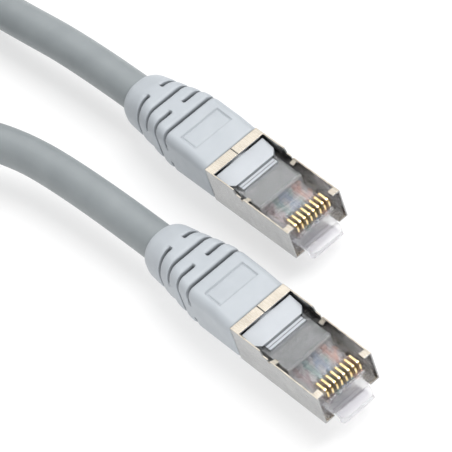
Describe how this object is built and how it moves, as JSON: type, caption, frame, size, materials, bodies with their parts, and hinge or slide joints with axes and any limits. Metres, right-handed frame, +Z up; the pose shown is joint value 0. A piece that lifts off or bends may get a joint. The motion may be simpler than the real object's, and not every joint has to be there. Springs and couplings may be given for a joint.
{
  "type": "shielded ethernet patch cable",
  "caption": "Shielded network patch cord with a latching modular plug and ribbed moulded boot at each end, spare length in a tied hank.",
  "frame": {"origin": "bottom centre of the box round the two plugs, level with the tips of their latches", "axes": "+X the way both plugs go into a jack, +Y from plug A to plug B, +Z up from latch side to contact side"},
  "size_m": [0.2275, 0.0653, 0.0162],
  "materials": {
    "shield_nickel": "satin nickel plating",
    "housing_clear": "clear",
    "latch_clear": "clear",
    "contact_gold": "gold plated",
    "inner_mould": "smooth moulded",
    "boot": "satin moulded",
    "cord_sheath": "satin extruded",
    "tie": "plastic coated wire",
    "conductor_white_orange": "insulation",
    "conductor_orange": "insulation",
    "conductor_white_green": "insulation",
    "conductor_blue": "insulation",
    "conductor_white_blue": "insulation",
    "conductor_green": "insulation",
    "conductor_white_brown": "insulation",
    "conductor_brown": "insulation"
  },
  "bodies": {
    "cable": {"shield_a": "shield_nickel", "housing_a": "housing_clear", "contact_a1": "contact_gold", "contact_a2": "contact_gold", "contact_a3": "contact_gold", "contact_a4": "contact_gold", "contact_a5": "contact_gold", "contact_a6": "contact_gold", "contact_a7": "contact_gold", "contact_a8": "contact_gold", "conductor_a1": "conductor_white_orange", "conductor_a2": "conductor_orange", "conductor_a3": "conductor_white_green", "conductor_a4": "conductor_blue", "conductor_a5": "conductor_white_blue", "conductor_a6": "conductor_green", "conductor_a7": "conductor_white_brown", "conductor_a8": "conductor_brown", "inner_mould_a": "inner_mould", "boot_a": "boot", "cord_end_a": "cord_sheath", "cord_run_a": "cord_sheath", "shield_b": "shield_nickel", "housing_b": "housing_clear", "contact_b1": "contact_gold", "contact_b2": "contact_gold", "contact_b3": "contact_gold", "contact_b4": "contact_gold", "contact_b5": "contact_gold", "contact_b6": "contact_gold", "contact_b7": "contact_gold", "contact_b8": "contact_gold", "conductor_b1": "conductor_white_orange", "conductor_b2": "conductor_orange", "conductor_b3": "conductor_white_green", "conductor_b4": "conductor_blue", "conductor_b5": "conductor_white_blue", "conductor_b6": "conductor_green", "conductor_b7": "conductor_white_brown", "conductor_b8": "conductor_brown", "inner_mould_b": "inner_mould", "boot_b": "boot", "cord_end_b": "cord_sheath", "cord_run_b": "cord_sheath", "cord_hank": "cord_sheath", "hank_tie_a": "tie", "hank_tie_b": "tie"},
    "latch_a_body": {"latch_a": "latch_clear"},
    "latch_b_body": {"latch_b": "latch_clear"}
  },
  "joints": [
    {"name": "latch_a_press", "type": "hinge", "parent": "cable", "child": "latch_a_body", "pos_m": [0.03757, -0.01005, 0.0034], "axis": [0, 1, 0], "range_deg": [0, 10], "stiffness_Nm_per_rad": 0.4},
    {"name": "latch_b_press", "type": "hinge", "parent": "cable", "child": "latch_b_body", "pos_m": [0.00747, 0.01005, 0.0034], "axis": [0, 1, 0], "range_deg": [0, 10], "stiffness_Nm_per_rad": 0.4}
  ]
}
